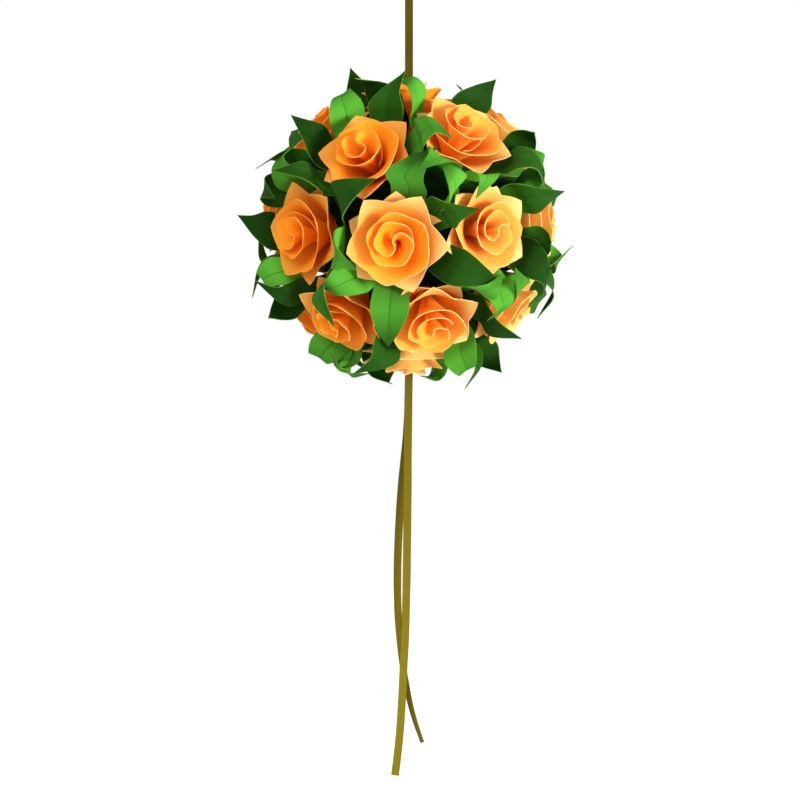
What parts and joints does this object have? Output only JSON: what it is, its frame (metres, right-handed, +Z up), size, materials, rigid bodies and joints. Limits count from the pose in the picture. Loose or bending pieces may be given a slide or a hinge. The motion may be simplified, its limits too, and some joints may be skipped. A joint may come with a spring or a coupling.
{
  "type": "hanging paper flower ball",
  "caption": "Hanging ball of rolled paper roses and curled pointed paper leaves on a foam core, hung by a loop of narrow ribbon whose two tails fall below it.",
  "frame": {"origin": "inside top of the hanging loop, where a hook holds it", "axes": "+Z up along the ribbon, -Y towards the viewer of the picture, +X to the right as seen from the front"},
  "size_m": [0.1333, 0.1284, 0.3416],
  "materials": {
    "core_foam": "matte",
    "rose_paper": "matte",
    "leaf_paper": "matte",
    "ribbon": "satin"
  },
  "bodies": {
    "root": {"core_ball": "core_foam", "rose_01": "rose_paper", "rose_02": "rose_paper", "rose_03": "rose_paper", "rose_04": "rose_paper", "rose_05": "rose_paper", "rose_06": "rose_paper", "rose_07": "rose_paper", "rose_08": "rose_paper", "rose_09": "rose_paper", "rose_10": "rose_paper", "rose_11": "rose_paper", "rose_12": "rose_paper", "rose_13": "rose_paper", "rose_14": "rose_paper", "rose_15": "rose_paper", "rose_16": "rose_paper", "rose_17": "rose_paper", "rose_18": "rose_paper", "rose_19": "rose_paper", "rose_20": "rose_paper", "rose_21": "rose_paper", "rose_22": "rose_paper", "leaves_01": "leaf_paper", "leaves_02": "leaf_paper", "leaves_03": "leaf_paper", "leaves_04": "leaf_paper", "leaves_05": "leaf_paper", "leaves_06": "leaf_paper", "leaves_07": "leaf_paper", "leaves_08": "leaf_paper", "leaves_09": "leaf_paper", "leaves_10": "leaf_paper", "leaves_11": "leaf_paper", "leaves_12": "leaf_paper", "leaves_13": "leaf_paper", "leaves_14": "leaf_paper", "leaves_15": "leaf_paper", "leaves_16": "leaf_paper", "leaves_17": "leaf_paper", "leaves_18": "leaf_paper", "leaves_19": "leaf_paper", "leaves_20": "leaf_paper", "leaves_21": "leaf_paper", "leaves_22": "leaf_paper", "ribbon_front": "ribbon", "ribbon_back": "ribbon", "ribbon_knot": "ribbon", "hanging_loop": "ribbon"}
  },
  "joints": []
}
